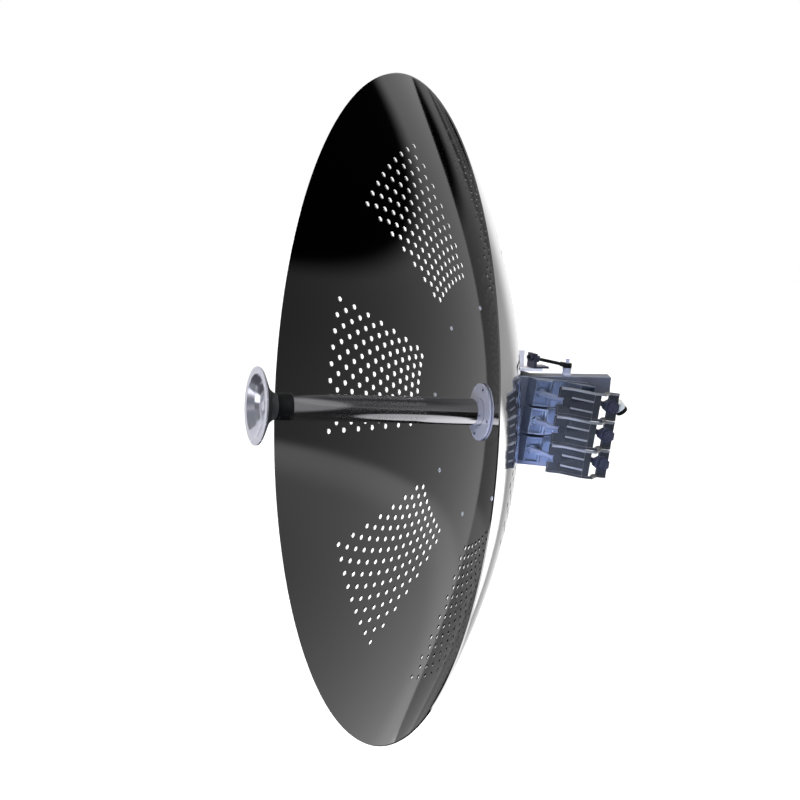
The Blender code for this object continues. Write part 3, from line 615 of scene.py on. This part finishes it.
def make_flange():
    flange = turned([(FLANGE_BORE, FLANGE_SEAT), (FLANGE, FLANGE_SEAT), (FLANGE, FLANGE_FACE),
                     (FLANGE_BORE, FLANGE_FACE)], 96, 0.7)
    piece("feed_flange_shown", flange, DISH, "flange", "dish", ("feed_flange",))
    screw = [(0.0, 0.2), (2.8, 0.2), (2.8, -1.6), (1.4, -1.6), (1.4, -0.72), (0.0, -0.72)]
    parts = []
    for i in range(SCREWS):
        angle = math.radians(FIRST_SCREW + 360 * i / SCREWS)
        at = (SCREW_CIRCLE * math.sin(angle), FLANGE_FACE, SCREW_CIRCLE * math.cos(angle))
        parts.append(placed(turned(screw, 20, 0.3), Matrix.Translation(at)))
    piece("feed_flange_screws", joined(parts), DISH, "steel", "dish")


def make_tube():
    """the tube and its black collar, which has two grooves"""
    tube = turned([(TUBE, TUBE_END), (TUBE, TUBE_FOOT), (TUBE_BORE, TUBE_FOOT), (TUBE_BORE, TUBE_END)], 128, 0.3)
    piece("feed_tube_shown", tube, DISH, "chrome", "dish", ("feed_tube",))
    low, high = COLLAR_END, TUBE_END - GAP
    collar = turned([(TUBE, low), (TUBE, low + 2.0), (TUBE - 0.7, low + 2.6), (TUBE - 0.7, low + 4.4),
                     (TUBE, low + 5.0), (TUBE, high - 4.0), (TUBE - 0.5, high - 3.5), (TUBE - 0.5, high - 2.5),
                     (TUBE, high - 2.0), (TUBE, high), (TUBE_BORE, high), (TUBE_BORE, low)], 96, 0.15)
    piece("feed_collar_shown", collar, DISH, "black", "dish", ("feed_collar",))


def make_subreflector():
    """the flared cone and the small dish on it, whose back is as dark as the cone"""
    flare = [(CONE_NECK + (CONE_MOUTH - CONE_NECK) * (i / FLARE_STEPS) ** FLARE,
              CONE_START - (CONE_START - CONE_END) * i / FLARE_STEPS) for i in range(FLARE_STEPS + 1)]
    cone = turned([(0.0, CONE_START)] + flare + [(0.0, CONE_END)], 96)
    piece("feed_cone_shown", cone, DISH, "cone", "dish", ("feed_cone",))
    outline = [(0.0, DISC_BACK), (CONE_MOUTH, DISC_BACK), (69.0, -427.0), (70.5, -428.2), (70.5, -431.0),
               (57.0, -431.0), (43.5, -420.8), (42.6, -420.0), (41.4, -420.0), (40.4, -421.4), (29.0, -414.8),
               (13.0, -414.8), (9.5, -417.6), (0.0, -417.6)]
    disc = piece("subreflector_shown", turned(outline, 128, 0.4, 3), DISH, "disc", "dish", ("subreflector",))
    disc.data.materials.append(LOOKS["cone"])
    backwards = DISH.to_3x3() @ Vector((0, 1, 0))
    for face in disc.data.polygons:
        face.material_index = int(face.normal.dot(backwards) > 0.3)


# Behind the dish

PLATE_SHEET = 3.0
PLATE_RIM = 212.0
PLATE_BEND = 190.0
HUB_FACE = 21.3
HUB_BOLTS = ((-42.0, 72.0), (30.0, 72.0), (-42.0, -72.0), (30.0, -72.0), (-42.0, 45.0), (-42.0, -45.0))
SOCKET_FLANGE = 21.6
SOCKET_END = 46.0
CONNECTOR_TURNS = 10
CONNECTORS = (("connector_upper", 10.0), ("connector_lower", -10.0))


def plate_front(radius):
    """where the backing plate's front face is along the dish's Y axis, at a radius on its rim"""
    return SHEET / math.cos(math.atan(radius / (2 * FOCAL))) + depth(radius) + GAP


def bolt_spots(height):
    """the places of the backing plate's bolts, square to the bowl, at a height along the dish's Y axis"""
    spots = []
    for i in range(BOLTS):
        angle = 2 * math.pi * i / BOLTS
        at = Vector((BOLT_CIRCLE * math.sin(angle), height, BOLT_CIRCLE * math.cos(angle)))
        spots.append(along(slope(at), at))
    return spots


def make_bowl_bolts():
    """the heads of the backing plate's bolts, in the bowl"""
    head = [(0.0, 0.2), (4.6, 0.2), (3.6, -1.4), (2.0, -2.0), (0.0, -2.1)]
    parts = [placed(turned(head, 24, 0.2), spot) for spot in bolt_spots(depth(BOLT_CIRCLE))]
    piece("bowl_bolts", joined(parts), DISH, "zinc", "dish")


def make_backing_plate():
    rim, bend = plate_front(PLATE_RIM), plate_front(PLATE_BEND)
    plate = turned([(PLATE_RIM, rim), (PLATE_BEND, bend), (112.0, 10.0), (34.0, 10.0), (34.0, 13.0),
                    (113.2, 13.0), (PLATE_BEND + 1.2, bend + PLATE_SHEET), (PLATE_RIM + 0.6, rim + PLATE_SHEET)],
                   128, 0.7)
    piece("backing_plate_shown", plate, DISH, "zinc", "dish", ("backing_plate",))
    parts = []
    for spot in bolt_spots(plate_front(BOLT_CIRCLE) + PLATE_SHEET):
        parts += [placed(round_bar(7.0, -0.2, 2.0, 20), spot), placed(hexagon(10.0, 1.8, 6.8, 0.6), spot),
                  placed(threaded(3.0, 6.3, 10.3, 1.0), spot)]
    piece("backing_plate_nuts", joined(parts), DISH, "steel", "dish")


def make_hub():
    parts = []
    for x, z in HUB_BOLTS:
        spot = Matrix.Translation((x, HUB_FACE, z))
        parts += [placed(round_bar(8.0, -0.2, 1.4, 20), spot), placed(hexagon(13.0, 1.2, 7.0, 0.7), spot)]
    piece("hub_bolts", joined(parts), DISH, "steel", "dish")
    seat = SOCKET_FLANGE
    socket = turned([(0.0, 9.3), (32.0, 9.3), (32.0, seat), (43.0, seat), (43.0, seat + 4), (32.0, seat + 4),
                     (32.0, 36.0), (21.0, 36.0), (21.0, SOCKET_END), (0.0, SOCKET_END)], 64, 0.8)
    piece("feed_socket_shown", socket, DISH, "silver", "dish", ("feed_socket",))
    low = SOCKET_END + GAP
    for name, height in CONNECTORS:
        outline = [(0.0, low), (7.5, low), (7.5, low + 3), (6.0, low + 3)]
        for i in range(CONNECTOR_TURNS):
            y = low + 4 + 1.3 * i
            outline += [(6.0, y), (5.5, y + 0.45), (5.5, y + 0.85)]
        outline += [(6.0, low + 18), (6.0, low + 19), (4.2, low + 19), (4.2, low + 8), (0.0, low + 8)]
        spot = Matrix.Translation((0, 0, height))
        piece(f"{name}_shown", placed(turned(outline, 40), spot), DISH, "silver", "dish", (name,))
        pin = round_bar(1.0, low + 7.8, low + 17, 16)
        piece(f"{name}_pin", placed(pin, spot), DISH, "chrome", "dish")
    softened("hub_bracket", "white", 0.8)
    softened("adjuster_lug", "steel", 0.7)
    for node in ("rod_nut_front", "rod_nut_rear"):
        softened(node, "steel", 0.5)


# Yoke

POST = (33.0, 144.5)
ROD_EYE = Vector((*POST, 94.5))
ROD_LUG = Vector((33.0, 73.0, 107.0))
ROD_START = 14.0              # where the thread begins, from the eye's middle
ROD_PAST = 14.0               # how far it stands out past the lug


def make_yoke():
    softened("yoke_plate", "casting", 0.9, edge_highlight="casting painted highlight")
    softened("arm_upper", "casting", 1.2, 3, edge_highlight="casting painted highlight")
    softened("arm_lower", "casting", 1.2, 3, edge_highlight="casting painted highlight")
    for node in ("azimuth_pin_upper", "azimuth_pin_lower", "elevation_pin", "lock_bolt"):
        softened(node, "steel", 0.5)
    post = turned([(0.0, 75.3), (9.4, 75.3), (9.4, 78.0), (7.6, 80.5), (7.6, 87.0), (8.6, 88.2), (8.6, 89.7),
                   (3.5, 89.7), (3.5, 99.5), (3.0, 99.8), (3.0, 101.2), (3.5, 101.5), (3.5, 106.5), (0.0, 106.5)],
                  48, 0.4)
    upright = Matrix.Translation((*POST, 0.0)) @ Matrix.Rotation(math.radians(90), 4, "X")
    piece("adjuster_post_shown", placed(post, upright), YOKE, "post", "yoke", ("adjuster_post",))
    way = ROD_LUG - ROD_EYE
    spot = along(way.normalized(), ROD_EYE)
    ring = turned([(3.8, 90.0), (8.5, 90.0), (8.5, 99.0), (3.8, 99.0)], 48, 1.2, 3)
    parts = [placed(ring, upright), placed(threaded(3.2, ROD_START, way.length + ROD_PAST, 1.25), spot),
             placed(round_bar(4.4, 6.5, 15.0, 24, 0.6), spot)]
    piece("adjuster_rod_shown", joined(parts), YOKE, "black", "yoke", ("adjuster_rod",))


# Pole bracket

PITCH = 51.7
LEVELS = (("upper", PITCH), ("middle", 0.0), ("lower", -PITCH))
CLAMP_STRETCH = 1.085         # the clamps all but meet, as in the photograph
BOLT_Y = 47.0
BOLT_RADIUS = 5.0
BOLT_START = 10.0
THREAD_PITCH = 1.5
CLAMP_FACE = 121.9
REAR_FLATS = 20.0
TERMINAL_TOP = (105.0, 66.3, 57.7)
TERMINAL_WAY = (0.0, 0.72, -0.70)
TERMINAL_LUG = ((113.3, 63.15, 52.0), (16.6, 5.7, 8.0))      # middle and size


def front_bolt(node, spot):
    """a stud with a low domed head of the clamp's own colour"""
    stud = threaded(BOLT_RADIUS, BOLT_START, CLAMP_FACE + 1.0, THREAD_PITCH)
    piece(f"{node}_shown", placed(stud, spot), ROW, "stud", "bracket", (node,))
    head = turned([(0.0, CLAMP_FACE), (8.0, CLAMP_FACE), (7.0, CLAMP_FACE + 1.6), (4.0, CLAMP_FACE + 2.2),
                   (0.0, CLAMP_FACE + 2.2)], 40, 0.5)
    piece(f"{node}_head", placed(head, spot), ROW, "clamp", "bracket")


def rear_bolt(node, spot):
    """a stud with a washer and a nut outside the clamp, and a nut inside it"""
    parts = [threaded(BOLT_RADIUS, BOLT_START, CLAMP_FACE + 12.0, THREAD_PITCH),
             round_bar(13.5, CLAMP_FACE, CLAMP_FACE + 2, 48, 0.4),
             hexagon(REAR_FLATS, CLAMP_FACE + 1.5, CLAMP_FACE + 10.0, 0.9),
             hexagon(REAR_FLATS, CLAMP_FACE - 16.6, CLAMP_FACE - 5.6, 0.9)]
    piece(f"{node}_shown", placed(joined(parts), spot), ROW, "steel", "bracket", (node,))


def make_terminal():
    middle, size = TERMINAL_LUG
    lug = bmesh.new()
    bmesh.ops.create_cube(lug, size=1.0)
    placed(lug, Matrix.Translation(middle) @ Matrix.Diagonal((*size, 1.0)))
    bmesh.ops.bevel(lug, geom=lug.edges[:], offset=0.6, segments=2, profile=0.5, affect="EDGES",
                    clamp_overlap=True, material=-1)
    spot = along(TERMINAL_WAY, TERMINAL_TOP)
    body = turned([(0.0, 0.0), (10.4, 0.0), (11.0, 0.8), (11.0, 3.0), (10.5, 3.5), (10.5, 5.0), (11.0, 5.5),
                   (11.0, 13.4), (0.0, 13.4)], 64, 0.3)
    piece("earth_terminal_shown", joined([lug, placed(body, spot)]), ROW, "terminal", "bracket",
          ("earth_terminal",))
    cap = round_bar(11.2, 13.3, 20.9, 64, 0.9, 3)
    piece("earth_terminal_cap", placed(cap, spot), ROW, "black", "bracket")


def make_bracket():
    softened("mount_plate", "casting", 1.4, 3, edge_highlight="casting painted highlight")
    for level, height in LEVELS:
        softened(f"jaw_{level}", "jaw", 1.1, 3, edge_highlight="casting painted highlight")
        softened(f"clamp_{level}", "clamp", 0.6, 2, edge_highlight="clamp painted highlight", corners_too=False, taller=CLAMP_STRETCH)
        front_bolt(f"clamp_bolt_{level}_front", along((1, 0, 0), (0, -BOLT_Y, height)))
        rear_bolt(f"clamp_bolt_{level}_rear", along((1, 0, 0), (0, BOLT_Y, height)))
    make_terminal()


# Studio, in metres

FLOOR = (0, 0, -1.35)
FLOOR_SIZE = 40.0
DISC_MIDDLE = (0.0, -0.425, 0.0)                             # of the sub-reflector, in the dish's frame
DISC_LAMPS_AWAY = 1.5
DISC_LAMPS = (("ring_light", 75, 12, 1.5, 3.2), ("hollow_light", 24, -24, 0.5, 1.2))
SIGHT_END = 200.0


def compass(azimuth, elevation):
    """a direction from degrees: azimuth from the dish's front towards -X, and height"""
    a, e = math.radians(azimuth), math.radians(elevation)
    return (-math.sin(a) * math.cos(e), -math.cos(a) * math.cos(e), math.sin(e))


def make_surroundings():
    """what the polished metal mirrors: grey walls that brighten to one side, over a dark ground;
    the paint gets its soft light from a broad ceiling, and the camera sees plain white"""
    world = bpy.data.worlds.new("studio")
    bpy.context.scene.world = world
    made = Tree(world)
    x, y, z = made.split(made.node("ShaderNodeTexCoord", {}, {}).outputs["Generated"])

    def towards(azimuth, elevation):
        """1 in a direction, and less away from it"""
        way = compass(azimuth, elevation)
        return x * way[0] + y * way[1] + z * way[2]

    # the walls, with a bright patch at one side
    wall = 0.0695 * (math.e ** (1.75 * towards(125, 0)))
    wall = wall + 0.59 * towards(115, 0).between(0.92, 0.985)
    # a glow over the horizon: a low band, the front, and the side of the camera
    horizon = z.between(-0.025, 0.005)
    glow = 0.047 * z.between(0.02, 0.09, 1.0, 0.0)
    glow = glow + 0.047 * (-1.0 * y).between(0.15, 0.80) * z.between(0.05, 0.33, 1.0, 0.5)
    glow = glow + 0.13 * x.between(0.0, 0.6)
    wall = wall + glow * horizon + 0.10 * z.between(0.5, 0.95)
    # the ground, darker downwards; a bright patch behind for the bowl's back, a spot in front for the tube
    ground = z.between(-0.482, -0.425, 0.01, 1.0) * z.between(-0.42, -0.10, 0.70, 0.97)
    light = wall * ground + 1.3 * towards(160, -25).between(0.878, 0.890)
    light = light + 0.27 * towards(0, -1).between(0.986, 0.995)
    # two pale patches low in front, mirrored in the tube's underside
    step = (1.0 - towards(-14, -38).between(0.930, 0.951)) * (1.0 - towards(15, -62).between(0.927, 0.942))
    light = light + -1.45 * z * (1.0 - step)
    soft = 0.16 + 2.6 * z.between(0.45, 0.90)
    path = made.node("ShaderNodeLightPath", {}, {})
    seen = made.blend(path.outputs["Is Diffuse Ray"], light, soft)
    seen = made.blend(path.outputs["Is Camera Ray"], seen, tone(1.0, 1.0, 1.0))
    made.give(made.tree.nodes["Background"].inputs[0], seen)


def soft_box(name, at, target, size, power, colour, spread=180.0, only=()):
    """a square lamp that lights the paint but isn't mirrored in the polished metal; or one that lights
    only some pieces, and is mirrored in them"""
    light = bpy.data.lights.new(name, "AREA")
    light.shape = "SQUARE"
    light.size = size
    light.energy = power
    light.color = colour
    light.spread = math.radians(spread)
    lamp = bpy.data.objects.new(name, light)
    lamp.location = at
    lamp.rotation_euler = (Vector(target) - Vector(at)).to_track_quat("-Z", "Y").to_euler()
    lamp.visible_glossy = bool(only)
    bpy.context.scene.collection.objects.link(lamp)
    if only:
        lit = bpy.data.collections.new(f"lit by {name}")
        for shown in only:
            lit.objects.link(bpy.data.objects[shown])
        lamp.light_linking.receiver_collection = lit


def light_subreflector():
    """two lamps for the small dish alone: the flat ring mirrors the broad one, its hollow the narrow one"""
    disc = DISH @ Vector(DISC_MIDDLE)
    for name, azimuth, height, size, power in DISC_LAMPS:
        at = disc + DISC_LAMPS_AWAY * Vector(compass(azimuth, height))
        soft_box(name, at, disc, size, power, (0.95, 0.95, 1.0), only=("subreflector_shown",))


def make_studio():
    """a pale floor that only the camera sees, the surroundings, the lamps and the camera"""
    floor = bmesh.new()
    bmesh.ops.create_grid(floor, x_segments=1, y_segments=1, size=FLOOR_SIZE)
    bmesh.ops.translate(floor, vec=FLOOR, verts=floor.verts)
    mesh = bpy.data.meshes.new("studio_floor")
    floor.to_mesh(mesh)
    floor.free()
    ground = bpy.data.objects.new("studio_floor", mesh)
    bpy.context.scene.collection.objects.link(ground)
    mesh.materials.append(Finish("pale floor", tone(0.95, 0.95, 0.95), 0.9, 0.0).material)
    ground.visible_glossy = False
    ground.visible_diffuse = False

    make_surroundings()
    soft_box("low_light", (1.2, -0.80, -0.35), (0.0, -0.06, -0.07), size=0.12, power=0.5,
             colour=(0.55, 0.66, 1.0), spread=14.0)
    soft_box("fill_light", (1.6, -1.05, 0.0), (0.02, -0.03, -0.03), size=0.5, power=5.0,
             colour=(0.64, 0.75, 1.0), spread=60.0)
    soft_box("front_light", (1.5, -3.2, 0.9), (-0.10, -0.40, 0.0), size=1.0, power=16.0,
             colour=(0.93, 0.95, 1.0), spread=60.0)

    data = bpy.data.cameras.new("eye")
    data.sensor_fit = "HORIZONTAL"
    data.angle = EYE_ANGLE
    data.clip_end = SIGHT_END
    camera = bpy.data.objects.new("eye", data)
    turn = Matrix((EYE_RIGHT, EYE_UP, EYE_BACK)).transposed().to_4x4()
    camera.matrix_world = Matrix.Translation(EYE) @ turn
    bpy.context.scene.collection.objects.link(camera)
    bpy.context.scene.camera = camera
    bpy.context.scene.view_settings.view_transform = "Standard"


make_studio()
make_bowl()
make_flange()
make_tube()
make_subreflector()
light_subreflector()
make_bowl_bolts()
make_backing_plate()
make_hub()
make_yoke()
make_bracket()
